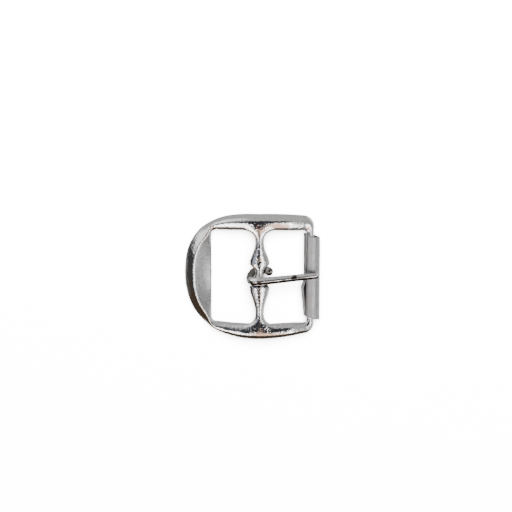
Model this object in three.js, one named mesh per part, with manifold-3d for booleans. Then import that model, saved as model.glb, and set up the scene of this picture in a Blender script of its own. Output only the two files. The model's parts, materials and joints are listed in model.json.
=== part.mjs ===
// A roller buckle with a centre bar, for a belt strap: a cast frame, a wire tongue that turns on the
// frame's centre bar, and a sheet-metal roller that turns on its end bar. Millimetres, +Z up.
// The buckle lies face up: +X runs from the round bow to the roller, and +Y along the bars.
// The frame arches: it stands on the back of its bow at z = 0, with the roller just clear of the
// same plane. Shapes are worked out with the centre bar at x = 0, and the group at the end moves them
// so that the origin is under the middle of the whole part.
import * as THREE from "three";
import { mergeVertices } from "three/addons/utils/BufferGeometryUtils.js";
import Module from "manifold-3d";

// ---- Driving dimensions ----
const strapWindow = 32; // between the side rails, across the strap
const frameThickness = 4.2; // flat back to crest
const railWidth = 5.3; // a side rail beside the centre bar
const railCrestShare = 0.45; // where the crest runs across a rail, from its outer edge
const bowReach = 25; // centre bar to the outermost point of the bow
const bowCrestInset = 3; // outer edge of the bow to its crest
const bowSquareness = 2.4; // exponent of the bow's outline: 2 is an ellipse
const bowLean = 1.2; // how far the casting's bow leans to +Y
const flangeReach = 16.1; // centre bar to the flange's straight edge
const flangeEdge = 1.5; // thickness of that edge
const flangeCorner = 1.6; // radius of the window's corners beside the flange
const rollerBarReach = 16.9; // centre bar to the roller bar
const rollerBarDiameter = 2.5;
const endDrawIn = [0.6, 1.7]; // how far each rail draws in at the roller end: +Y rail, -Y rail
const bowDrawIn = [0.1, 0.5]; // and its inner edge at the bow end
const endCorner = 3.6; // outer corner radius there
const endFillet = 1.2; // radius between a rail and the roller bar
const waistDiameter = 3.2; // centre bar, where the tongue turns
const shoulderWidth = 6.7; // centre bar, at each side of the tongue
const neckWidth = 3; // centre bar, at its narrowest
const neckInset = 4.6; // a rail's inner edge to the neck
const neckFillet = 3.4; // radius between the centre bar and a rail
const wireDiameter = 2.6; // tongue, round its eye
const tipDiameter = 2.1; // tongue, at its point
const tipInset = 0.7; // the tongue's point, short of the roller's outside
const tongueSkew = 1.5; // how far the tongue runs aside between its eye and the roller
const tonguePlace = 0.75; // the tongue's place along the centre bar, from its middle
const wireEnd = 12; // degrees the eye's cut end stands above the bar's axis
const sheetThickness = 0.7; // roller
const seamGap = 0.4; // roller
const seamAngle = 137; // degrees, up from the side away from the bow
const seamTwist = 20; // degrees the seam turns along the roller
const lipFlare = 1.2; // how far the seam's lower lip stands out
const rollerSkew = 0.28; // slope of the roller's cut ends

// ---- Clearances ----
const eyeClearance = 0.3; // tongue to waist, and to the shoulders
const coilGap = 0.2; // between the eye's two turns of wire
const eyeLift = 1; // eye above what the buckle lies on
const rollerLift = 0.2; // roller above the same
const barInset = 0.1; // top of the centre bar below the rails' crest
const boreGap = 0.25; // least gap from roller to its bar
const rollerHang = 0.5; // roller's axis beyond its bar's, as it hangs loose
const rollerEndGap = 1.75; // roller to each rail
const restGap = 0.3; // tongue to roller
const lipStart = 1.5; // from the tongue's line to where the lip starts to flare

// ---- Worked out from those ----
const windowHalf = strapWindow / 2;
const frameHalf = windowHalf + railWidth;
const barRadius = rollerBarDiameter / 2;
const waistRadius = waistDiameter / 2;
const wireRadius = wireDiameter / 2;
const eyeReach = wireRadius + eyeClearance; // from the wire's centre to the nearest of the frame
const eyeRadius = waistRadius + eyeReach; // centre line of the wire
const centreBarHeight = eyeRadius + wireRadius + eyeLift; // its axis at the tongue
const turnHalf = (wireDiameter + coilGap) / 2; // each turn of wire, from the eye's middle
const rollerBore = barRadius + rollerHang + boreGap;
const rollerRadius = rollerBore + sheetThickness;
const rollerReach = rollerBarReach + rollerHang; // centre bar to the roller's axis
const rollerHeight = rollerRadius + rollerLift;
const bowWidest = -1; // x of the outline's greatest width
const rightEdge = rollerBarReach + barRadius;
const archRise = centreBarHeight + waistRadius + barInset - frameThickness;
const endRise = rollerHeight - frameThickness / 2; // of the rails' back, at the roller bar

const wasm = await Module();
wasm.setup();
const { lerp, smoothstep, degToRad } = THREE.MathUtils;
const flat = (x, y) => new THREE.Vector2(x, y);

// ---- Solids from rings of points ----
// A closed skin over a list of rings, which all have the same number of points. It closes on itself
// when closed is true, and otherwise a fan closes each end.
function loft(rings, closed = false) {
  const around = rings[0].length;
  const points = rings.flat();
  const faces = [];
  const spans = closed ? rings.length : rings.length - 1;
  for (let i = 0; i < spans; i++) {
    const here = i * around;
    const next = ((i + 1) % rings.length) * around;
    for (let j = 0; j < around; j++) {
      const k = (j + 1) % around;
      faces.push(here + j, here + k, next + k, here + j, next + k, next + j);
    }
  }
  if (!closed) {
    capEnd(rings[0], 0, true);
    capEnd(rings.at(-1), (rings.length - 1) * around, false);
  }
  function capEnd(ring, start, first) {
    const middle = new THREE.Vector3();
    ring.forEach((p) => middle.add(p));
    points.push(middle.divideScalar(around));
    for (let j = 0; j < around; j++) {
      const pair = [start + j, start + ((j + 1) % around)];
      faces.push(points.length - 1, ...(first ? pair.reverse() : pair));
    }
  }
  return new THREE.BufferGeometry().setFromPoints(points).setIndex(faces);
}

function solidOf(geometry) {
  const merged = mergeVertices(geometry, 1e-4);
  const mesh = new wasm.Mesh({
    numProp: 3,
    vertProperties: merged.attributes.position.array,
    triVerts: new Uint32Array(merged.index.array),
  });
  return new wasm.Manifold(mesh);
}

function geometryOf(solid) {
  const mesh = solid.getMesh();
  return new THREE.BufferGeometry()
    .setAttribute("position", new THREE.BufferAttribute(mesh.vertProperties, 3))
    .setIndex(new THREE.BufferAttribute(mesh.triVerts, 1));
}

// ---- Frame: the ring ----
const bowHalfLength = bowReach + bowWidest;
const cornerStart = rightEdge - endCorner;

// Height of the frame's back: the bow lies flat, and the rails rise to the centre bar and then fall
// away to the roller bar.
function archHeight(x) {
  const bowFlat = -0.79 * bowReach;
  if (x <= 0) return archRise * smoothstep(x, bowFlat, 0);
  return archRise - (archRise - endRise) * (x / rightEdge) ** 2;
}

// Outer edge of a rail: the bow's outline up to its widest place, then a shallow arc that draws in.
function outerRail(x, drawIn) {
  const along = (x - bowWidest) / (cornerStart - bowWidest);
  return frameHalf - drawIn * Math.max(0, along) ** 2;
}

// side is 1 for the +Y half and -1 for the other, which is worked out as its mirror image.
function bowOutline(angle, side) {
  const power = 2 / bowSquareness;
  const x = bowWidest - bowHalfLength * Math.cos(angle) ** power;
  const lean = bowLean * ((bowWidest - x) / bowHalfLength) ** 2;
  return flat(x, frameHalf * Math.sin(angle) ** power + side * lean);
}

// Inner edge of a rail: it follows the outer edge a little at both ends.
function innerRail(x, drawIn = 0) {
  const left = x < bowWidest;
  const along = (x - bowWidest) / (left ? flangeReach + bowWidest : cornerStart - bowWidest);
  return windowHalf - (left ? drawIn : 0.35) * along * along;
}

// Half the ring, from the middle of the bow to the middle of the roller bar, as pairs of an outer
// and an inner edge point. flange is 1 where the section is the bow's, and round is 1 where it is
// the roller bar's.
function halfRing(side) {
  const far = side > 0 ? 0 : 1;
  const [drawIn, bowIn] = [endDrawIn[far], bowDrawIn[far]];
  const steps = { bow: 18, rail: 14, corner: 7, bar: 5 };
  const joinX = -flangeReach + flangeCorner;
  const joinAngle = Math.acos(((bowWidest - joinX) / bowHalfLength) ** (bowSquareness / 2));
  const flangeTop = innerRail(joinX, bowIn) - flangeCorner;
  const flangeLine = new THREE.Path();
  flangeLine.moveTo(-flangeReach, 0);
  flangeLine.lineTo(-flangeReach, flangeTop);
  flangeLine.absarc(joinX, flangeTop, flangeCorner, Math.PI, Math.PI / 2, true);
  const stations = [];
  const add = (outer, inner, flange, round) => stations.push({ outer, inner, flange, round });

  for (let i = 0; i < steps.bow; i++) {
    const share = i / steps.bow;
    const flange = 1 - smoothstep(share, 0.55, 1);
    add(bowOutline(joinAngle * share, side), flangeLine.getPointAt(share), flange, 0);
  }
  const innerCorner = flat(rightEdge - rollerBarDiameter - endFillet, innerRail(cornerStart) - endFillet);
  const outerCorner = flat(cornerStart, outerRail(cornerStart, drawIn) - endCorner);
  for (let i = 0; i < steps.rail; i++) {
    const share = i / steps.rail;
    const outerX = lerp(joinX, cornerStart, share);
    const innerX = lerp(joinX, innerCorner.x, share);
    const onBow = Math.acos(Math.max(0, (bowWidest - outerX) / bowHalfLength) ** (bowSquareness / 2));
    const outerY = outerX < bowWidest ? bowOutline(onBow, side).y : outerRail(outerX, drawIn);
    add(flat(outerX, outerY), flat(innerX, innerRail(innerX, bowIn)), 0, 0);
  }
  for (let i = 0; i < steps.corner; i++) {
    const share = i / steps.corner;
    const turn = (Math.PI / 2) * (1 - share);
    const spoke = flat(Math.cos(turn), Math.sin(turn));
    const outer = outerCorner.clone().addScaledVector(spoke, endCorner);
    const inner = innerCorner.clone().addScaledVector(spoke, endFillet);
    add(outer, inner, 0, smoothstep(share, 0, 1));
  }
  for (let i = 0; i <= steps.bar; i++) {
    const left = 1 - i / steps.bar;
    const outer = flat(rightEdge, outerCorner.y * left);
    add(outer, flat(rightEdge - rollerBarDiameter, innerCorner.y * left), 0, 1);
  }
  return stations;
}

// The ring's section, from its outer edge over the crest to its inner edge and back along the flat
// back: x runs inward across the ring, and y up from its back.
function railSection(width, flange) {
  const land = 0.8; // upright part of the outer edge
  const ease = 0.3; // corners of the back
  const crest = lerp(railCrestShare * width, bowCrestInset, flange);
  const innerTop = lerp(0.6 * frameThickness, flangeEdge, flange);
  const drop = frameThickness - innerTop;
  const path = new THREE.Path();
  path.moveTo(0, land);
  path.quadraticCurveTo(0.25 * crest, 0.97 * frameThickness, crest, frameThickness);
  path.bezierCurveTo(
    crest + 0.3 * (width - crest),
    frameThickness,
    lerp(width, crest + 0.45 * (width - crest), flange),
    lerp(frameThickness, innerTop + 0.2 * drop, flange),
    width,
    innerTop,
  );
  path.lineTo(width, ease);
  for (let i = 0; i <= 5; i++) path.lineTo(lerp(width - ease, ease, i / 5), 0);
  path.lineTo(0, ease);
  return path.getPoints(6);
}

// A section of the ring in place. Where it turns round, each point slides to the circle's point in
// the same direction from the middle.
function ringOf({ outer, inner, flange, round }) {
  const width = outer.distanceTo(inner);
  return railSection(width, flange).map((point) => {
    const angle = Math.atan2(point.y - frameThickness / 2, point.x - width / 2);
    const across = lerp(point.x, (width / 2) * (1 + Math.cos(angle)), round);
    const plan = outer.clone().lerp(inner, across / width);
    const roundHeight = rollerHeight + barRadius * Math.sin(angle);
    return new THREE.Vector3(plan.x, plan.y, lerp(archHeight(plan.x) + point.y, roundHeight, round));
  });
}

function ringSolid() {
  const [far, near] = [halfRing(1), halfRing(-1)];
  const mirror = ({ x, y }) => flat(x, -y);
  const mirrored = near
    .slice(1, -1)
    .map((station) => ({ ...station, outer: mirror(station.outer), inner: mirror(station.inner) }))
    .reverse();
  return solidOf(loft([...far, ...mirrored].map(ringOf), true));
}

// ---- Frame: the centre bar ----
// Half its width at y: the waist round the tongue's place, a slope of about 45 degrees that clears
// the tongue's wire, the shoulder, the taper to the neck and the fillet into the rail.
function barHalfWidth(yFromMiddle) {
  const shoulder = shoulderWidth / 2;
  const neck = neckWidth / 2;
  const ease = 0.2; // rounds both ends of the slope
  const slopeAt = (radius) => radius - eyeRadius + turnHalf + Math.SQRT2 * eyeReach;
  const slopeStart = slopeAt(waistRadius) - ease;
  const slopeEnd = slopeAt(shoulder) + ease;
  const taperEnd = windowHalf - neckInset;
  const filletStart = windowHalf - neckFillet;
  const y = Math.abs(yFromMiddle);
  const fromTongue = Math.abs(yFromMiddle - tonguePlace);
  if (fromTongue <= slopeEnd) {
    return lerp(waistRadius, shoulder, smoothstep(fromTongue, slopeStart, slopeEnd));
  }
  const taperStart = slopeEnd + tonguePlace * Math.sign(yFromMiddle);
  if (y <= taperEnd) return lerp(shoulder, neck, smoothstep(y, taperStart, taperEnd));
  if (y <= filletStart) return neck;
  const into = Math.min(y - filletStart, neckFillet);
  return neck + neckFillet - Math.sqrt(neckFillet ** 2 - into ** 2);
}

// How boxy the bar's section is, as a superellipse: round at the waist, a ridge between its wings at
// a shoulder, and flat-topped where it joins a rail.
function barSquareness(y, half) {
  const joined = smoothstep(Math.abs(y), windowHalf - neckFillet - 1, windowHalf);
  if (joined > 0) return lerp(2, 3.2, joined);
  return lerp(2, 1.4, smoothstep(half, waistRadius, shoulderWidth / 2));
}

function centreBarSolid() {
  const around = 18;
  const reach = windowHalf + 0.3 * railWidth; // its ends lie inside the rails
  const spacing = 0.5;
  const stations = 2 * Math.ceil(reach / spacing);
  const rings = [];
  for (let i = 0; i <= stations; i++) {
    const y = lerp(reach, -reach, i / stations);
    const half = barHalfWidth(y);
    const power = 2 / barSquareness(y, half);
    rings.push(
      Array.from({ length: around }, (_, j) => {
        const angle = (2 * Math.PI * j) / around;
        const x = half * Math.sign(Math.cos(angle)) * Math.abs(Math.cos(angle)) ** power;
        const z = waistRadius * Math.sign(Math.sin(angle)) * Math.abs(Math.sin(angle)) ** power;
        return new THREE.Vector3(x, y, centreBarHeight + z);
      }),
    );
  }
  return solidOf(loft(rings));
}

function frameGeometry() {
  return geometryOf(ringSolid().add(centreBarSolid()));
}

// ---- Tongue ----
// The wire's centre line, from the point to the eye's cut end: a straight shank that rests on the
// roller, then most of a turn round the bar, which drifts aside by one wire to clear the shank.
const restHeight = rollerHeight + rollerRadius + restGap + tipDiameter / 2;
const fall = restHeight - centreBarHeight; // of the shank at the roller, over the centre bar's axis
const tipX = rollerReach + rollerRadius - tipInset;
const tangentAngle = Math.atan2(fall, rollerReach) + Math.acos(eyeRadius / Math.hypot(fall, rollerReach));
const shankRise = Math.tan(tangentAngle - Math.PI / 2);
const shankX = eyeRadius * Math.cos(tangentAngle);
const shankZ = centreBarHeight + eyeRadius * Math.sin(tangentAngle);

class WireLine extends THREE.Curve {
  constructor() {
    super();
    this.shank = tipX - shankX;
    this.wrap = 2 * Math.PI + degToRad(wireEnd) - tangentAngle;
    this.length = this.shank + this.wrap * eyeRadius;
  }
  getPoint(t) {
    const along = t * this.length;
    if (along < this.shank) {
      const x = tipX - along;
      const aside = (tongueSkew * (x - shankX)) / (rollerReach - shankX);
      return new THREE.Vector3(x, tonguePlace + aside - turnHalf, shankZ + shankRise * (x - shankX));
    }
    const angle = tangentAngle + (along - this.shank) / eyeRadius;
    const drift = smoothstep(angle, degToRad(150), degToRad(270));
    const y = tonguePlace + lerp(-turnHalf, turnHalf, drift);
    const z = centreBarHeight + eyeRadius * Math.sin(angle);
    return new THREE.Vector3(eyeRadius * Math.cos(angle), y, z);
  }
}

function tongueGeometry() {
  const line = new WireLine();
  const around = 14;
  const pointLength = 0.5; // the rounded point
  const shares = [0, 0.15, 0.5, 1].map((s) => (s * pointLength) / line.length);
  const shankEnd = line.shank / line.length;
  for (let i = 1; i <= 8; i++) shares.push(lerp(shares[3], shankEnd, i / 8));
  for (let i = 1; i <= 32; i++) shares.push(lerp(shankEnd, 1, i / 32));
  let side = new THREE.Vector3(0, 1, 0);
  const rings = shares.map((t) => {
    const centre = line.getPoint(t);
    const step = 1e-4;
    const ahead = line.getPoint(Math.min(t + step, 1)).sub(line.getPoint(Math.max(t - step, 0))).normalize();
    side = side.clone().addScaledVector(ahead, -side.dot(ahead)).normalize();
    const up = new THREE.Vector3().crossVectors(ahead, side);
    const taper = Math.min(1, t / shankEnd);
    const fromPoint = Math.min(1, (t * line.length) / pointLength);
    const blunt = 0.55 + 0.45 * Math.sqrt(1 - (1 - fromPoint) ** 2);
    const radius = blunt * lerp(tipDiameter / 2, wireRadius, taper);
    return Array.from({ length: around }, (_, j) => {
      const angle = (2 * Math.PI * j) / around;
      return centre
        .clone()
        .addScaledVector(side, radius * Math.cos(angle))
        .addScaledVector(up, radius * Math.sin(angle));
    });
  });
  return loft(rings);
}

// ---- Roller ----
// A strip rolled into a tube round the bar. Its seam faces the bow, and one lip of the seam stands
// out along part of its length.
function rollerGeometry() {
  const halfLength = innerRail(cornerStart) - rollerEndGap;
  const lengthSteps = 20;
  const arcSteps = 24;
  const gapAngle = seamGap / rollerRadius;
  const flareFrom = tonguePlace + tongueSkew - turnHalf - lipStart;
  const flarePeak = lerp(flareFrom, -halfLength, 0.25);
  const rings = [];
  for (let i = 0; i <= lengthSteps; i++) {
    const y = lerp(halfLength, -halfLength, i / lengthSteps);
    const falling = Math.max(0, (y + halfLength) / (flarePeak + halfLength));
    const flare = y < flarePeak ? falling : 1 - smoothstep(y, flarePeak, flareFrom);
    const seam = degToRad(seamAngle - (seamTwist / 2) * (y / halfLength));
    const skew = rollerSkew * Math.abs(y / halfLength); // none in the middle, all of it at the ends
    const ring = [];
    const place = (radius, k) => {
      const share = k / arcSteps;
      const angle = seam + gapAngle / 2 + share * (2 * Math.PI - gapAngle);
      const out = radius + lipFlare * flare * (1 - smoothstep(share, 0, 0.28));
      const x = out * Math.cos(angle);
      ring.push(new THREE.Vector3(x, y - skew * x, out * Math.sin(angle)));
    };
    for (let k = 0; k <= arcSteps; k++) place(rollerRadius, k);
    for (let k = arcSteps; k >= 0; k--) place(rollerBore, k);
    rings.push(ring);
  }
  return stripLoft(rings, arcSteps);
}

// As loft, for rings that are a bent strip, outer face first: the ends are closed across the strip.
function stripLoft(rings, arcSteps) {
  const around = rings[0].length;
  const faces = [];
  for (let i = 0; i + 1 < rings.length; i++) {
    for (let j = 0; j < around; j++) {
      const k = (j + 1) % around;
      const [here, next] = [i * around, (i + 1) * around];
      faces.push(here + j, here + k, next + k, here + j, next + k, next + j);
    }
  }
  for (const [start, flip] of [[0, true], [(rings.length - 1) * around, false]]) {
    for (let k = 0; k < arcSteps; k++) {
      const quad = [k, k + 1, around - 2 - k, around - 1 - k].map((n) => start + n);
      if (flip) quad.reverse();
      faces.push(quad[0], quad[1], quad[2], quad[0], quad[2], quad[3]);
    }
  }
  return new THREE.BufferGeometry().setFromPoints(rings.flat()).setIndex(faces);
}

// ---- The buckle ----
const plated = new THREE.MeshStandardMaterial({ color: 0xc9c7c4, roughness: 0.22, metalness: 1 });
const polished = new THREE.MeshStandardMaterial({ color: 0xcfcdcb, roughness: 0.1, metalness: 1 });
const satin = new THREE.MeshStandardMaterial({ color: 0xbdbdbd, roughness: 0.38, metalness: 1 });

function named(name, geometry, material) {
  const mesh = new THREE.Mesh(geometry, material);
  mesh.name = name;
  return mesh;
}

const frame = named("frame", frameGeometry(), plated);
const tongue = named("tongue", tongueGeometry(), polished);
const roller = named("roller", rollerGeometry(), satin);
roller.position.set(rollerReach, 0, rollerHeight);

const buckle = new THREE.Group();
buckle.add(frame, tongue, roller);
buckle.position.x = (bowReach - rollerReach - rollerRadius) / 2;
export default buckle;
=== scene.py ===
import json
import math

import bpy
import numpy as np
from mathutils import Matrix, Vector, noise


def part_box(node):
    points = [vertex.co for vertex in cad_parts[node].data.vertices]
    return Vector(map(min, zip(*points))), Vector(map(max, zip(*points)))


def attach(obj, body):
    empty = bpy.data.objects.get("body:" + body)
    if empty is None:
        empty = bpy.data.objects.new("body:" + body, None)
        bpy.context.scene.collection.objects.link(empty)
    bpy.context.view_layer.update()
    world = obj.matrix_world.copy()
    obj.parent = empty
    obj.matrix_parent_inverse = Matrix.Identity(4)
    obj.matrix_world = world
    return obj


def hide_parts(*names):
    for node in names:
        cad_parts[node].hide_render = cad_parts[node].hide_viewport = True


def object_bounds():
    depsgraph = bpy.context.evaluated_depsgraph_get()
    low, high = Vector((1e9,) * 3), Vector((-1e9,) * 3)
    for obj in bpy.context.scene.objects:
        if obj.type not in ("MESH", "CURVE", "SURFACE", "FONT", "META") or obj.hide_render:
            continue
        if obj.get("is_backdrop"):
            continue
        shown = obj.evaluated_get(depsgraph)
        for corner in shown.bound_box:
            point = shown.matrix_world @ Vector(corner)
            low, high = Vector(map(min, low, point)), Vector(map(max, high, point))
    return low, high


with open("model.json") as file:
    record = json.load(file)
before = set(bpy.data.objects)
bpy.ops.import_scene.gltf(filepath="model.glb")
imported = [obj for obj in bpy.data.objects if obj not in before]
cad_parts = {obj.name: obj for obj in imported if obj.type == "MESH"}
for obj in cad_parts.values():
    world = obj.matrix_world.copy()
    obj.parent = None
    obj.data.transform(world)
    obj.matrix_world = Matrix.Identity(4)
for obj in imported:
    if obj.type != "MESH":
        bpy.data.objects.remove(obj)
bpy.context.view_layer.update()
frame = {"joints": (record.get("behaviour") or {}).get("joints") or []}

# ---- Sizes, from the frame where it has them ----
MM = 0.001
JOINTS = {joint["name"]: np.array(joint["pos_m"]) / MM for joint in frame["joints"]}
BAR = JOINTS["tongue_hinge"]  # the centre bar's axis, where the tongue turns
SPIN = JOINTS["roller_spin"]  # the roller's axis
BAR_PLACE = np.array([BAR[0], 0, 0])  # the shapes' origin in the row frame


def cad_extent(node):
    """Lowest and highest corner of a CAD node, in millimetres from the centre bar."""
    low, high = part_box(node)
    return np.array(low) / MM - BAR_PLACE, np.array(high) / MM - BAR_PLACE


FRAME_LOW, FRAME_HIGH = cad_extent("frame")
ROLLER_LOW, _ = cad_extent("roller")

BOW_REACH = -FRAME_LOW[0]
FRAME_HALF = FRAME_HIGH[1]
RIGHT_EDGE = FRAME_HIGH[0]
RAIL_WIDTH = 5.3
WINDOW_HALF = FRAME_HALF - RAIL_WIDTH
FRAME_THICKNESS = 4.2
CLEARANCE = 0.3  # between the tongue and what it turns on or rests over
RAIL_CREST_SHARE = 0.45  # of the rail's width, from its outer edge
BOW_CREST_INSET = 3
BOW_SQUARENESS = 2.4  # power of the bow's superellipse
BOW_WIDEST = -1  # x where the ring is widest and the bow starts
BOW_LEAN = 1.2  # of the bow, towards +Y
BOW_FLAT_SHARE = 0.79  # of the bow's reach, where its flat back starts to rise to the bar
FLANGE_REACH = 16.1
FLANGE_EDGE = 1.5
FLANGE_CORNER = 1.6
ROLLER_BAR_RADIUS = 1.25
END_DRAW_IN = {1: 0.6, -1: 1.7}  # outer edge at the roller end: +Y rail, -Y rail
BOW_DRAW_IN = {1: 0.1, -1: 0.5}  # inner edge at the bow end
INNER_DRAW_IN = 0.35  # inner edge at the roller end
END_CORNER = 3.6
END_FILLET = 1.2
END_EASE = 5.0  # of the rail before its corner, where its section starts to turn round
SADDLE = 5.5  # reach of the rail's raised inner edge to each side of the centre bar
WAIST_RADIUS = 1.6  # of the centre bar, where the tongue turns
SHOULDER_HALF = 3.35  # half the width of the bar's wings
NECK_HALF = 1.5
NECK_INSET = 4.6
NECK_FILLET = 3.4
BAR_INSET = 0.1  # of the bar's top below the rails' crests
WIRE_RADIUS = 1.3
TIP_RADIUS = 1.05
EYE_REACH = WIRE_RADIUS + CLEARANCE
EYE_RADIUS = WAIST_RADIUS + EYE_REACH
TURN_HALF = WIRE_RADIUS + 0.1  # how far the eye's two ends lie to each side of its middle
TONGUE_SKEW = 1.5  # of the shank towards +Y, from the bar to the roller
TONGUE_PLACE = 0.75  # along the bar, from its middle
WIRE_END = math.radians(12)  # of the eye's end above the bar's axis, on the roller's side
ROLLER_RADIUS = SPIN[2] - ROLLER_LOW[2]
SHEET = 0.7  # thickness of the roller's sheet
ROLLER_END_ROOM = 1.75  # from the rail to the roller's end
ROLLER_REACH = SPIN[0] - BAR[0]
ARCH_RISE = BAR[2] + WAIST_RADIUS + BAR_INSET - FRAME_THICKNESS
END_RISE = SPIN[2] - FRAME_THICKNESS / 2
UNEVENNESS = ((7, 0.1), (2.6, 0.028), (0.7, 0.013))  # of the casting: size of lumps, height


def lerp(a, b, t):
    return a + (b - a) * t


def smoothstep(x, low, high):
    t = np.clip((x - low) / (high - low), 0, 1)
    return t * t * (3 - 2 * t)


# ---- Meshes ----
def to_scene(points):
    """From the shapes' millimetres to the scene's metres."""
    return (points + BAR_PLACE) * MM


def add_object(name, data):
    thing = bpy.data.objects.new(name, data)
    bpy.context.scene.collection.objects.link(thing)
    return thing


def skin(rings, closed=False):
    """Vertices and quads over an array of rings; the ends are capped with a fan unless it closes."""
    count, around = rings.shape[:2]
    points = rings.reshape(-1, 3)
    spans = count if closed else count - 1
    i, j = np.meshgrid(np.arange(spans), np.arange(around), indexing="ij")
    here, following = i * around, ((i + 1) % count) * around
    turn = (j + 1) % around
    corners = [here + j, here + turn, following + turn, following + j]
    faces = np.stack(corners, axis=-1).reshape(-1, 4).tolist()
    if not closed:
        points = np.vstack([points, rings[0].mean(0), rings[-1].mean(0)])
        last = (count - 1) * around
        for k in range(around):
            turned = (k + 1) % around
            faces.append([len(points) - 2, turned, k])
            faces.append([len(points) - 1, last + k, last + turned])
    return points, faces


def strip_skin(rings, wide, edge):
    """As skin, for rings that are a bent strip: its ends are closed across the strip. Each ring has
    wide points on its outer side, edge on one end, wide on its inner side and edge on the other."""
    points, faces = skin(rings)
    around = rings.shape[1]
    count = len(rings)
    faces = [face for face in faces if len(face) == 4]
    points = points[: count * around]
    for start, flip in ((0, True), ((count - 1) * around, False)):
        for k in range(wide - 1):
            back = wide + edge + (wide - 1 - k)
            quad = [start + k, start + k + 1, start + back - 1, start + back]
            faces.append(quad[::-1] if flip else quad)
    return points, faces


def mesh_object(name, parts):
    """One object from several (vertices, faces) parts, placed in the row frame."""
    points, faces = [], []
    for part_points, part_faces in parts:
        start = sum(len(p) for p in points)
        points.append(part_points)
        faces += [[start + v for v in face] for face in part_faces]
    data = bpy.data.meshes.new(name)
    data.from_pydata(to_scene(np.vstack(points)).tolist(), [], faces)
    data.validate()
    data.shade_smooth()
    return add_object(name, data)


def sweep(line, radius, around):
    """Rings of a round wire along a line of points, with no twist between them."""
    ahead = np.gradient(line, axis=0)
    ahead /= np.linalg.norm(ahead, axis=1)[:, None]
    angle = np.linspace(0, 2 * math.pi, around, endpoint=False)[:, None]
    side = np.array([0.0, 1.0, 0.0])
    rings = []
    for point, forward, r in zip(line, ahead, radius):
        side = side - side.dot(forward) * forward
        side /= np.linalg.norm(side)
        up = np.cross(forward, side)
        rings.append(point + r * (np.cos(angle) * side + np.sin(angle) * up))
    return np.array(rings)


def bezier(points, t):
    """Points on a Bezier curve of any degree."""
    while len(points) > 1:
        points = [lerp(a, b, t[:, None]) for a, b in zip(points, points[1:])]
    return points[0]


# ---- Frame ----
BOW_HALF_LENGTH = BOW_REACH + BOW_WIDEST
JOIN_X = -FLANGE_REACH + FLANGE_CORNER  # where the flange's arc meets the rail
CORNER_START = RIGHT_EDGE - END_CORNER
CORNER_ARC = END_CORNER * math.pi / 2
END_INNER_X = RIGHT_EDGE - 2 * ROLLER_BAR_RADIUS


def arch_height(x):
    """Height of the frame's back."""
    left = ARCH_RISE * smoothstep(x, -BOW_FLAT_SHARE * BOW_REACH, 0)
    right = ARCH_RISE - (ARCH_RISE - END_RISE) * (x / RIGHT_EDGE) ** 2
    return np.where(x <= 0, left, right)


def bow_x(angle):
    """x on the bow's outline, by angle round it from the bow's middle."""
    return BOW_WIDEST - BOW_HALF_LENGTH * np.cos(angle) ** (2 / BOW_SQUARENESS)


# side is 1 for the +Y half and -1 for the other, which is worked out as its mirror image.
def outer_rail(x, side):
    """The ring's outer edge: a superellipse on the bow, then drawn in slightly to the roller end."""
    on_bow = np.clip((BOW_WIDEST - x) / BOW_HALF_LENGTH, 0, 1)
    along = np.clip((x - BOW_WIDEST) / (CORNER_START - BOW_WIDEST), 0, None)
    outline = FRAME_HALF * (1 - on_bow**BOW_SQUARENESS) ** (1 / BOW_SQUARENESS)
    return outline + side * BOW_LEAN * on_bow**2 - END_DRAW_IN[side] * along**2


def inner_rail(x, side):
    """The window's long edge, drawn in slightly to both ends."""
    on_bow = x < BOW_WIDEST
    reach = np.where(on_bow, FLANGE_REACH + BOW_WIDEST, CORNER_START - BOW_WIDEST)
    draw_in = np.where(on_bow, BOW_DRAW_IN[side], INNER_DRAW_IN)
    return WINDOW_HALF - draw_in * ((x - BOW_WIDEST) / reach) ** 2


def flange_line(share, side):
    """The flange's straight edge and the arc into the rail, by share of their length."""
    top = inner_rail(JOIN_X, side) - FLANGE_CORNER
    arc = FLANGE_CORNER * math.pi / 2
    along = share * (top + arc)
    turn = np.clip((along - top) / FLANGE_CORNER, 0, math.pi / 2)
    x = JOIN_X - FLANGE_CORNER * np.cos(turn)
    return np.stack([x, np.minimum(along, top) + FLANGE_CORNER * np.sin(turn)], axis=-1)


def corner_centres(side):
    """Centres of the outer and the inner arc where a rail turns into the end bar."""
    outer = np.array([CORNER_START, outer_rail(CORNER_START, side) - END_CORNER])
    inner = np.array([END_INNER_X - END_FILLET, inner_rail(CORNER_START, side) - END_FILLET])
    return outer, inner


def roundness(along):
    """How far the section is a round bar, by distance from where it starts to turn round."""
    return smoothstep(along / (END_EASE + CORNER_ARC), 0, 1)


# Each stretch of the ring gives its stations: their points on the outer and the inner edge, and how
# far the section there is flange or round bar.
def bow_stretch(side, count=90):
    flange_fades = 0.55  # share of the stretch where the flange starts to turn into the rail
    join_angle = math.acos(((BOW_WIDEST - JOIN_X) / BOW_HALF_LENGTH) ** (BOW_SQUARENESS / 2))
    share = np.arange(count) / count
    outer_x = bow_x(join_angle * share)
    outer = np.stack([outer_x, outer_rail(outer_x, side)], axis=-1)
    flange = 1 - smoothstep(share, flange_fades, 1)
    return outer, flange_line(share, side), flange, np.zeros(count)


def rail_stretch(side, count=90):
    share = np.arange(count) / count
    outer_x = lerp(JOIN_X, CORNER_START, share)
    inner_x = lerp(JOIN_X, END_INNER_X - END_FILLET, share)
    outer = np.stack([outer_x, outer_rail(outer_x, side)], axis=-1)
    inner = np.stack([inner_x, inner_rail(inner_x, side)], axis=-1)
    into_ease = END_EASE * (1 - np.clip((CORNER_START - outer_x) / END_EASE, 0, 1))
    return outer, inner, np.zeros(count), roundness(into_ease)


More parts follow.
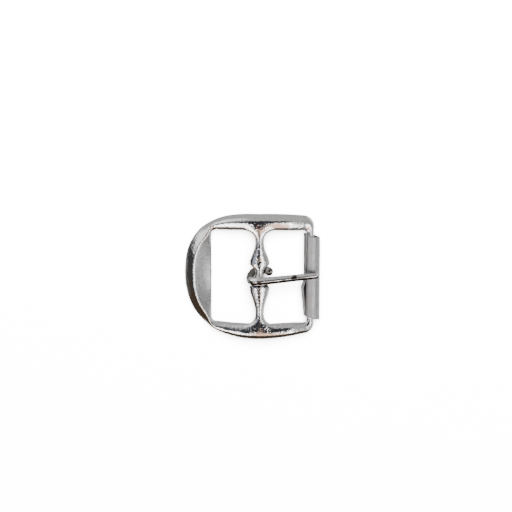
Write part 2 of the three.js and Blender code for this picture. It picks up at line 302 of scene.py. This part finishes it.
def corner_stretch(side, count=40):
    share = np.arange(count) / count
    turn = math.pi / 2 * (1 - share)
    spoke = np.stack([np.cos(turn), np.sin(turn)], axis=-1)
    outer, inner = corner_centres(side)
    rounded = roundness(END_EASE + share * CORNER_ARC)
    return outer + END_CORNER * spoke, inner + END_FILLET * spoke, np.zeros(count), rounded


def end_stretch(side, count=16):
    left = 1 - np.arange(count + 1) / count
    ones = np.ones(count + 1)
    (_, outer_y), (_, inner_y) = corner_centres(side)
    outer = np.stack([RIGHT_EDGE * ones, outer_y * left], axis=-1)
    inner = np.stack([END_INNER_X * ones, inner_y * left], axis=-1)
    return outer, inner, 0 * ones, ones


def half_ring(side):
    """The stations from the bow's middle to the end bar's."""
    stretches = (bow_stretch, rail_stretch, corner_stretch, end_stretch)
    return [np.concatenate(values) for values in zip(*(stretch(side) for stretch in stretches))]


def rail_section(width, flange, saddle):
    """The ring's section, from the outer edge over the crest and back along the flat back. The
    shares set how full its curves are: on a rail, on the bow's flange or beside the centre bar."""
    land, ease = 0.8, 0.3  # the outer side's height before it curves, the back's blunted edges
    top_steps, back_steps, edge_steps = 22, 9, 3
    crest = lerp(RAIL_CREST_SHARE * width, BOW_CREST_INSET, flange)
    inside = width - crest
    inner_top = lerp(lerp(0.6, 0.98, saddle) * FRAME_THICKNESS, FLANGE_EDGE, flange)
    drop = FRAME_THICKNESS - inner_top
    bend = (lerp(0.25, 0.5, flange) * crest, lerp(0.97, 0.78, flange) * FRAME_THICKNESS)
    outer_side = [(0, land), bend, (crest, FRAME_THICKNESS)]
    inner_side = [
        (crest, FRAME_THICKNESS),
        (crest + lerp(0.35, 0.06, flange) * inside, FRAME_THICKNESS - 0.03),
        (
            crest + lerp(1, 0.5, flange) * inside,
            lerp(FRAME_THICKNESS - lerp(0.3, 0.03, saddle), inner_top + 0.5 * drop, flange),
        ),
        (width, inner_top),
    ]
    back = [(width, ease), (width - ease, 0), (ease, 0), (0, ease)]
    top = np.linspace(0, 1, top_steps)
    pieces = [bezier([np.array([p]) for p in outer_side], top)[:-1]]
    pieces.append(bezier([np.array([p]) for p in inner_side], top))
    for (x0, y0), (x1, y1) in zip(back, back[1:]):
        steps = np.linspace(0, 1, back_steps if y0 == y1 else edge_steps)[:, None]
        pieces.append(lerp(np.array([[x0, y0]]), np.array([[x1, y1]]), steps)[:-1])
    pieces.append(np.array([[0, ease]]))
    return np.vstack(pieces)


def ring_station(outer, inner, flange, rounded):
    """The points of one section, between its outer and inner edge and at its height."""
    width = np.linalg.norm(outer - inner)
    saddle = 1 - smoothstep(abs(inner[0]), 0.3 * SADDLE, SADDLE)
    section = rail_section(width, flange, saddle)
    angle = np.arctan2(section[:, 1] - FRAME_THICKNESS / 2, section[:, 0] - width / 2)
    across = lerp(section[:, 0], width / 2 * (1 + np.cos(angle)), rounded)
    plan = lerp(outer, inner, (across / width)[:, None])
    round_height = SPIN[2] + ROLLER_BAR_RADIUS * np.sin(angle)
    height = lerp(arch_height(plan[:, 0]) + section[:, 1], round_height, rounded)
    return np.column_stack([plan, height])


def ring_part():
    """The ring: the +Y half from the bow to the end bar, and the other half back again."""
    far, near = half_ring(1), half_ring(-1)
    mirror = np.array([1, -1])
    stations = list(zip(*far))
    for outer, inner, flange, rounded in list(zip(*near))[-2:0:-1]:
        stations.append((outer * mirror, inner * mirror, flange, rounded))
    return skin(np.array([ring_station(*station) for station in stations]), closed=True)


def bar_half_width(y_from_middle):
    """Half the bar's width: a waist and a slope on each side of the tongue, out to the wings, then
    a taper to the neck and a fillet into the rail."""
    ease = 0.2

    def slope_at(radius):
        """How far from the tongue the bar may reach a radius and stay clear of the eye."""
        return radius - EYE_RADIUS + TURN_HALF + math.sqrt(2) * EYE_REACH

    slope_start, slope_end = slope_at(WAIST_RADIUS) - ease, slope_at(SHOULDER_HALF) + ease
    y = np.abs(y_from_middle)
    from_tongue = np.abs(y_from_middle - TONGUE_PLACE)
    taper_start = slope_end + TONGUE_PLACE * np.sign(y_from_middle)
    taper_end = WINDOW_HALF - NECK_INSET
    into = np.clip(y - (WINDOW_HALF - NECK_FILLET), 0, NECK_FILLET)
    slope = lerp(WAIST_RADIUS, SHOULDER_HALF, smoothstep(from_tongue, slope_start, slope_end))
    taper = lerp(SHOULDER_HALF, NECK_HALF, smoothstep(y, taper_start, taper_end))
    fillet = NECK_HALF + NECK_FILLET - np.sqrt(NECK_FILLET**2 - into**2)
    return np.where(from_tongue <= slope_end, slope, np.where(y <= taper_end, taper, fillet))


def bar_part():
    """The bar, of superellipse sections: round at the waist, a ridge between the wings and
    flat-topped where it joins the rails."""
    around, along = 56, 240
    round_power, ridge_power, flat_power = 2, 1.75, 2.6
    sink = 0.1  # how much lower its ends lie, inside the rails
    reach = WINDOW_HALF + 0.3 * RAIL_WIDTH
    y = np.linspace(reach, -reach, along)
    half = bar_half_width(y)
    joined = smoothstep(np.abs(y), WINDOW_HALF - NECK_FILLET - 1, WINDOW_HALF)
    sunk = sink * smoothstep(np.abs(y), WINDOW_HALF - 1, reach)[:, None]
    wing = lerp(round_power, ridge_power, smoothstep(half, WAIST_RADIUS, SHOULDER_HALF))
    power = (2 / np.where(joined > 0, lerp(round_power, flat_power, joined), wing))[:, None]
    angle = np.linspace(0, 2 * math.pi, around, endpoint=False)
    cos, sin = np.cos(angle), np.sin(angle)
    x = half[:, None] * np.sign(cos) * np.abs(cos) ** power
    z = BAR[2] - sunk + WAIST_RADIUS * np.sign(sin) * np.abs(sin) ** power
    return skin(np.stack([x, np.broadcast_to(y[:, None], x.shape), z], axis=-1))


def relax(points, edges, share, rounds):
    """Moves each point towards the middle of its neighbours, by a share for all or one for each."""
    here = np.concatenate([edges[:, 0], edges[:, 1]])
    there = np.concatenate([edges[:, 1], edges[:, 0]])
    count = len(points)
    degree = np.bincount(here, minlength=count)[:, None]
    for _ in range(rounds):
        sums = [np.bincount(here, points[there, axis], count) for axis in range(3)]
        points = lerp(points, np.stack(sums, axis=-1) / degree, share)
    return points


def ripple(points, grain, height):
    """Smooth noise at each point, with lumps of about the given size."""
    return height * np.array([noise.noise(Vector(point)) for point in points / grain])


def mesh_array(items, name, width, kind=float):
    """One attribute of all the items, as rows of the given width."""
    values = np.empty(len(items) * width, dtype=kind)
    items.foreach_get(name, values)
    return values.reshape(-1, width)


def fused_mesh(voxel):
    """Ring and bar as one mesh of even quads."""
    rough = mesh_object("frame_rough", [ring_part(), bar_part()])
    fuse = rough.modifiers.new("fuse", "REMESH")
    fuse.mode = "VOXEL"
    fuse.voxel_size = voxel * MM
    graph = bpy.context.evaluated_depsgraph_get()
    fused = bpy.data.meshes.new_from_object(rough.evaluated_get(graph))
    bpy.data.objects.remove(rough)
    return fused


def move_vertices(data, points):
    data.vertices.foreach_set("co", to_scene(points).ravel())
    data.update()


def pitting(points, normals):
    """Depth of the one small pit in the face, at the far corner of the bow's flange."""
    radius, depth = 0.3, 0.22
    pit = np.array([-FLANGE_REACH - 0.4, WINDOW_HALF + 0.7])
    from_pit = np.linalg.norm(points[:, :2] - pit, axis=1)
    return np.where(normals[:, 2] > 0, depth * np.exp(-((from_pit / radius) ** 2)), 0)


def build_frame():
    """Ring and bar fused, their joins faired, and the skin left slightly uneven as a casting is."""
    voxel, above_floor = 0.18, 0.01
    fair_within, fair_beyond = 3, 6  # distance from a join: faired fully, not at all
    fused = fused_mesh(voxel)
    points = mesh_array(fused.vertices, "co", 3) / MM - BAR_PLACE
    edges = mesh_array(fused.edges, "vertices", 2, int)
    points = relax(points, edges, 0.5, 8)
    from_join = np.hypot(points[:, 0], np.abs(points[:, 1]) - WINDOW_HALF)
    join = 0.5 * (1 - smoothstep(from_join, fair_within, fair_beyond))
    points = relax(points, edges, join[:, None], 28)
    move_vertices(fused, points)

    normals = mesh_array(fused.vertices, "normal", 3)
    uneven = sum(ripple(points, grain, height) for grain, height in UNEVENNESS)
    uneven -= pitting(points, normals)
    points += normals * uneven[:, None]
    points[:, 2] = np.maximum(points[:, 2], above_floor)
    move_vertices(fused, points)
    fused.shade_smooth()
    return add_object("frame_casting", fused)


# ---- Tongue ----
def build_tongue():
    """A straight shank over the roller, and an eye bent four fifths of the way round the bar's
    waist, which steps aside as it passes under the bar."""
    nose, cut_share = 0.8, 0.35  # length of the rounded tip, and what is left of its radius
    short = 0.7  # of the roller's outer side
    rest = SPIN[2] + ROLLER_RADIUS + CLEARANCE + TIP_RADIUS
    left, right = TONGUE_PLACE - TURN_HALF, TONGUE_PLACE + TURN_HALF
    fall = rest - BAR[2]
    tip_x = ROLLER_REACH + ROLLER_RADIUS - short
    tangent = math.atan2(fall, ROLLER_REACH) + math.acos(
        EYE_RADIUS / math.hypot(fall, ROLLER_REACH)
    )
    shank_x = EYE_RADIUS * math.cos(tangent)
    shank_z = BAR[2] + EYE_RADIUS * math.sin(tangent)

    def shank(x):
        aside = left + TONGUE_SKEW * (x - shank_x) / (ROLLER_REACH - shank_x)
        return np.column_stack([x, aside, shank_z + math.tan(tangent - math.pi / 2) * (x - shank_x)])

    blunt = np.linspace(0, 1, 10)[:-1] ** 2 * nose
    straight = np.linspace(nose, tip_x - shank_x, 60)
    x = tip_x - np.concatenate([blunt, straight])
    angle = np.linspace(tangent, 2 * math.pi + WIRE_END, 90)[1:]
    drift = lerp(left, right, smoothstep(angle, math.radians(150), math.radians(270)))
    eye = np.column_stack([EYE_RADIUS * np.cos(angle), drift, BAR[2] + EYE_RADIUS * np.sin(angle)])
    line = np.vstack([shank(x), eye])
    taper = lerp(TIP_RADIUS, WIRE_RADIUS, np.clip((tip_x - line[:, 0]) / (tip_x - shank_x), 0, 1))
    taper[len(x) :] = WIRE_RADIUS
    from_tip = np.clip((tip_x - x) / nose, 0, 1)
    taper[: len(x)] *= cut_share + (1 - cut_share) * np.sqrt(1 - (1 - from_tip) ** 2)
    return mesh_object("tongue_wire", [skin(sweep(line, taper, 32))])


# ---- Roller ----
def build_roller():
    """Sheet rolled into a tube with an open, slightly twisted seam. Its ends are cut askew, and one
    side of the seam flares outwards on the -Y side of the tongue."""
    gap, seam_angle, twist = 0.4, math.radians(137), math.radians(20)  # of the seam
    flare_out, flare_share = 1.2, 0.28  # how far, and over how much of the turn
    skew_slope = 0.28
    clear_of_tongue = 1.5
    half_length = inner_rail(CORNER_START, 1) - ROLLER_END_ROOM
    flare_from = TONGUE_PLACE + TONGUE_SKEW - TURN_HALF - clear_of_tongue
    flare_peak = lerp(flare_from, -half_length, 0.25)
    gap_angle = gap / ROLLER_RADIUS
    share = np.linspace(0, 1, 97)
    rings = []
    for y in np.linspace(half_length, -half_length, 90):
        falling = max(0, (y + half_length) / (flare_peak + half_length))
        flare = falling if y < flare_peak else 1 - smoothstep(y, flare_peak, flare_from)
        seam = seam_angle - twist / 2 * y / half_length
        angle = seam + gap_angle / 2 + share * (2 * math.pi - gap_angle)
        out = flare_out * flare * (1 - smoothstep(share, 0, flare_share))
        skew = skew_slope * abs(y / half_length)
        layers = []
        for radius in np.linspace(ROLLER_RADIUS, ROLLER_RADIUS - SHEET, 4):
            x = (radius + out) * np.cos(angle)
            z = (radius + out) * np.sin(angle)
            layers.append(np.column_stack([x + ROLLER_REACH, y - skew * x, z + SPIN[2]]))
        outer, *edges, inner = layers
        start = np.array([layer[0] for layer in edges])[::-1]
        end = np.array([layer[-1] for layer in edges])
        rings.append(np.vstack([outer, end, inner[::-1], start]))
    return mesh_object("roller_tube", [strip_skin(np.array(rings), len(share), len(edges))])


# ---- Materials ----
class Nodes:
    """Short calls for building one node tree."""

    def __init__(self, tree):
        self.tree = tree

    def add(self, kind, inputs=None, **settings):
        node = self.tree.nodes.new(kind)
        for name, value in settings.items():
            setattr(node, name, value)
        for name, value in (inputs or {}).items():
            if isinstance(value, bpy.types.NodeSocket):
                self.link(value, node.inputs[name])
            else:
                node.inputs[name].default_value = value
        return node

    def link(self, value, socket):
        self.tree.links.new(value, socket)

    def math(self, operation, *values):
        return self.add("ShaderNodeMath", dict(enumerate(values)), operation=operation).outputs[0]

    def separate(self, vector):
        return self.add("ShaderNodeSeparateXYZ", {0: vector}).outputs

    def stretch(self, vector, scale):
        return self.add("ShaderNodeMapping", {"Vector": vector, "Scale": scale}).outputs[0]

    def noise(self, vector, size, detail=2.0):
        """Noise with lumps of the given size in millimetres."""
        inputs = {"Vector": vector, "Scale": 1 / (size * MM), "Detail": detail}
        return self.add("ShaderNodeTexNoise", inputs).outputs[0]

    def bump(self, height, distance):
        return self.add(
            "ShaderNodeBump", {"Height": height, "Strength": 1.0, "Distance": distance * MM}
        )

    def mix(self, factor, a, b):
        node = self.add("ShaderNodeMix", {0: factor, 6: a, 7: b}, data_type="RGBA")
        return node.outputs[2]

    def ramp(self, value, low, high, out_low=0.0, out_high=1.0):
        node = self.add(
            "ShaderNodeMapRange",
            {"Value": value, 1: low, 2: high, 3: out_low, 4: out_high},
            interpolation_type="SMOOTHSTEP",
        )
        return node.outputs[0]


def grey(value, warmth=0.0):
    return (value * (1 + warmth), value, value * (1 - warmth), 1.0)


def new_material(name):
    material = bpy.data.materials.new(name)
    material.use_nodes = True
    nodes = Nodes(material.node_tree)
    return material, nodes, material.node_tree.nodes["Principled BSDF"]


class Plating:
    """Plated metal with patchy polish and a fine grain."""

    patch_size = 1.2

    def __init__(self, name, base, roughness, grain, grain_height):
        self.material, self.nodes, self.shader = new_material(name)
        self.coordinates = self.nodes.add("ShaderNodeTexCoord").outputs
        self.place = self.coordinates["Object"]
        fine = self.nodes.noise(self.place, grain, 1.5)
        patch = self.nodes.noise(self.place, self.patch_size)
        self.bump = self.nodes.bump(fine, grain_height)
        self.roughness = self.nodes.ramp(patch, 0.3, 0.7, roughness * 0.75, roughness * 1.35)
        in_grain, on_top = grey(base * 0.82, 0.02), grey(base, 0.012)
        self.colour = self.nodes.mix(self.nodes.ramp(fine, 0.3, 0.5), in_grain, on_top)

    def finish(self):
        self.nodes.link(self.bump.outputs[0], self.shader.inputs["Normal"])
        self.nodes.link(self.roughness, self.shader.inputs["Roughness"])
        self.nodes.link(self.colour, self.shader.inputs["Base Color"])
        self.shader.inputs["Metallic"].default_value = 1.0
        return self.material


def satin_flange(plating):
    """Satin and smoother on the bow's dished flange, which polishing misses."""
    starts, full = 14.2, 15.6  # distances from the bar
    rougher, smoother = 0.2, -0.75
    nodes = plating.nodes
    x = nodes.separate(plating.place)[0]
    inward = nodes.separate(plating.coordinates["Normal"])[0]
    on_bow = nodes.ramp(x, (BAR[0] - full) * MM, (BAR[0] - starts) * MM, 1.0, 0.0)
    flange = nodes.math("MULTIPLY", on_bow, nodes.ramp(inward, 0.18, 0.34))
    plating.roughness = nodes.math("MULTIPLY_ADD", flange, rougher, plating.roughness)
    strength = nodes.math("MULTIPLY_ADD", flange, smoother, 1.0)
    nodes.link(strength, plating.bump.inputs["Strength"])
    plating.colour = nodes.mix(flange, plating.colour, grey(0.6))


def painted_crook_shade(plating):
    """Painted shade: the base colour darkened in the crook between the tongue and the bar's near
    shoulder, where the tongue shades the bar.
    """
    crook, half_width = TONGUE_PLACE - 2.9, 2.5  # along the bar and across it
    nodes = plating.nodes
    x, y, _ = nodes.separate(plating.place)
    uneven = nodes.noise(plating.place, 0.8)
    from_crook = nodes.math("ABSOLUTE", nodes.math("SUBTRACT", y, crook * MM))
    from_bar = nodes.math("ABSOLUTE", nodes.math("SUBTRACT", x, BAR[0] * MM))
    reach = nodes.math("MAXIMUM", from_crook, nodes.math("SUBTRACT", from_bar, half_width * MM))
    reach = nodes.math("MULTIPLY_ADD", uneven, 0.8 * MM, reach)
    # painted shade, darkest in the crook and fading out around it
    shade_share = nodes.ramp(reach, 0.8 * MM, 1.9 * MM, 1.0, 0.0)
    plating.colour = nodes.mix(shade_share, plating.colour, grey(0.03, 0.1))


def casting_metal():
    plating = Plating("plated_casting", 0.9, 0.08, grain=0.5, grain_height=0.07)
    satin_flange(plating)
    painted_crook_shade(plating)
    return plating.finish()


def paint_wire_reflection_and_spot(plating):
    """A painted dark reflection streak along the shank and a dark spot on it, placed by distance to
    the side of the shank's axis and along it."""
    spot_reach, spot_aside = 11.5, 0.2  # from the bar, and from the axis towards -Y
    nodes = plating.nodes
    x, y, _ = nodes.separate(plating.place)
    uneven = nodes.noise(nodes.stretch(plating.place, (0.3, 1.0, 1.0)), 0.9)
    slope = TONGUE_SKEW / ROLLER_REACH
    start = (TONGUE_PLACE - TURN_HALF) * MM - slope * BAR[0] * MM
    aside = nodes.math("SUBTRACT", y, nodes.math("MULTIPLY_ADD", x, slope, start))

    # painted reflection: a dark band along the shank, just to the -Y side of its axis
    edge = nodes.math("MULTIPLY_ADD", uneven, 0.5 * MM, aside)
    past_near_side = nodes.ramp(edge, -0.8 * MM, -0.5 * MM)
    past_far_side = nodes.ramp(edge, 0.05 * MM, 0.25 * MM)
    painted_reflection = nodes.math("SUBTRACT", past_near_side, past_far_side)
    # the painted reflection's colour, near black
    plating.colour = nodes.mix(painted_reflection, plating.colour, grey(0.015, 0.05))

    # a dark spot on the shank, darkest at its middle
    past_spot = nodes.math("SUBTRACT", x, (BAR[0] + spot_reach) * MM)
    beside_spot = nodes.math("ADD", aside, spot_aside * MM)
    squares = nodes.math("MULTIPLY", beside_spot, beside_spot)
    squares = nodes.math("MULTIPLY_ADD", past_spot, past_spot, squares)
    from_spot = nodes.math("MULTIPLY_ADD", uneven, -1.6 * MM, nodes.math("SQRT", squares))
    plating.colour = nodes.mix(nodes.ramp(from_spot, 0.1 * MM, 0.4 * MM), grey(0.06), plating.colour)


def painted_eye_shade(plating):
    """Painted shade: the base colour darkened where the eye turns down round the bar, below the
    bar's top.
    """
    nodes = plating.nodes
    z = nodes.separate(plating.place)[2]
    bar_top = (BAR[2] + WAIST_RADIUS) * MM
    clear_of_shade = nodes.ramp(z, bar_top - 0.4 * MM, bar_top + 0.5 * MM)
    # painted shade on the eye below the bar's top
    plating.colour = nodes.mix(clear_of_shade, grey(0.22, 0.05), plating.colour)


def wire_metal():
    plating = Plating("polished_wire", 0.95, 0.1, grain=0.9, grain_height=0.01)
    paint_wire_reflection_and_spot(plating)
    painted_eye_shade(plating)
    return plating.finish()


def sheet_metal():
    """Rolled sheet: satin, with faint lines drawn along its length."""
    base, roughness = 0.54, 0.5
    material, nodes, shader = new_material("satin_sheet")
    place = nodes.add("ShaderNodeTexCoord").outputs["Object"]
    lines = nodes.noise(nodes.stretch(place, (1.0, 0.03, 1.0)), 0.45, 3.0)
    blotch = nodes.noise(place, 2.5)
    nodes.link(nodes.bump(lines, 0.02).outputs[0], shader.inputs["Normal"])
    satin = nodes.ramp(blotch, 0.3, 0.7, roughness * 0.85, roughness * 1.2)
    nodes.link(satin, shader.inputs["Roughness"])
    in_line, between = grey(base * 0.84, -0.025), grey(base, -0.02)
    colour = nodes.mix(nodes.ramp(lines, 0.3, 0.7), in_line, between)
    nodes.link(colour, shader.inputs["Base Color"])
    shader.inputs["Metallic"].default_value = 1.0
    return material


# ---- Studio ----
def build_world():
    """A light tent round the buckle, with panels and dark gaps that its metal reflects. A later
    patch lies over an earlier one."""
    world = bpy.data.worlds.new("tent")
    world.use_nodes = True
    nodes = Nodes(world.node_tree)
    direction = nodes.add("ShaderNodeTexCoord").outputs["Generated"]
    colour = nodes.add("ShaderNodeRGB").outputs[0]
    colour.default_value = grey(0.5)
    white, dark, brown = grey(6.5), (0.035, 0.037, 0.045, 1), (0.06, 0.042, 0.03, 1)
    patches = [
        # degrees from overhead and round from +X, full within, gone beyond, colour
        (0, 0, 26, 35, white),  # the panel overhead
        (76, 90, 36, 46, grey(0.52)),  # wall at +Y
        (120, 0, 40, 55, grey(1.2)),  # low on the roller's side
        (62, 0, 20, 27, grey(0.42)),  # wall on the roller's side
        (86, 180, 24, 42, grey(0.05)),  # dark wall on the bow's side
        (43, 189, 13, 20, (0.42, 0.45, 0.55, 1)),  # bluish, above it
        (98, 235, 26, 46, brown),  # low, between the bow's side and -Y
        (78, 138, 25, 36, grey(1.5)),  # pale, between +Y and the bow's side
        (100, 270, 38, 48, brown),  # low at -Y
        (60, 224, 9, 16, (1.5, 0.9, 0.6, 1)),  # warm panels and white ones towards -Y
        (36, 237, 13, 21, white),
        (36, 302, 13, 21, white),
        (34, 276, 13, 23, (1.8, 1.05, 0.7, 1)),
        (18, 212, 9, 15, dark),  # gaps in the panel overhead
        (18, 50, 14, 22, dark),
        (7, 135, 22, 30, dark),
    ]
    for tilt, around, full, gone, tone in patches:
        tilt, around = math.radians(tilt), math.radians(around)
        level = math.sin(tilt)
        unit = (level * math.cos(around), level * math.sin(around), math.cos(tilt))
        dot = nodes.add(
            "ShaderNodeVectorMath", {0: direction, 1: unit}, operation="DOT_PRODUCT"
        ).outputs["Value"]
        share = nodes.ramp(dot, math.cos(math.radians(gone)), math.cos(math.radians(full)))
        colour = nodes.mix(share, colour, tone)
    nodes.link(colour, world.node_tree.nodes["Background"].inputs["Color"])
    bpy.context.scene.world = world


def build_floor():
    """A matt pale floor that the metal doesn't reflect."""
    half = 3.0  # metres
    data = bpy.data.meshes.new("floor")
    corners = [(-half, -half, 0), (half, -half, 0), (half, half, 0), (-half, half, 0)]
    data.from_pydata(corners, [], [(0, 1, 2, 3)])
    floor = add_object("floor", data)
    material, _, shader = new_material("floor_pale")
    shader.inputs["Base Color"].default_value = grey(0.9)
    shader.inputs["Roughness"].default_value = 1.0
    shader.inputs["Specular IOR Level"].default_value = 0.0
    data.materials.append(material)
    floor.visible_glossy = False
    floor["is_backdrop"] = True


def area_light(name, place, size, power):
    """A square light aimed at the buckle, which the metal doesn't reflect."""
    data = bpy.data.lights.new(name, "AREA")
    data.shape = "SQUARE"
    data.size = size
    data.energy = power
    light = add_object(name, data)
    light.location = place
    light.rotation_mode = "QUATERNION"
    light.rotation_quaternion = Vector(-np.array(place)).to_track_quat("-Z", "Y")
    light.visible_glossy = False


def build_camera():
    """Looks down on the buckle, leaning a little to its +Y side."""
    low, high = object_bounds()
    centre = (low + high) / 2
    tilt, distance = math.radians(11), 0.6
    data = bpy.data.cameras.new("camera")
    data.sensor_width = 36.0
    picture_width = 512 * 0.332 * MM  # at the buckle
    data.lens = data.sensor_width * distance / picture_width
    camera = add_object("camera", data)
    aim = centre + Vector((0.00125, 0.0073, 0))  # so the buckle lies left of and below the middle
    camera.location = aim + distance * Vector((0, math.sin(tilt), math.cos(tilt)))
    camera.rotation_euler = (-tilt, 0, 0)
    bpy.context.scene.camera = camera


# What builds a piece, the body it rides on and the node of that name it replaces, slot, material.
PIECES = (
    (build_frame, "frame", "plated_casting", casting_metal()),
    (build_tongue, "tongue", "polished_wire", wire_metal()),
    (build_roller, "roller", "satin_sheet", sheet_metal()),
)
for build, body, slot, material in PIECES:
    piece = build()
    piece.data.materials.append(material)
    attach(piece, body)
    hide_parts(body)

build_world()
build_floor()
area_light("softbox", place=(0.1, 0.5, 1.2), size=0.9, power=360)
build_camera()
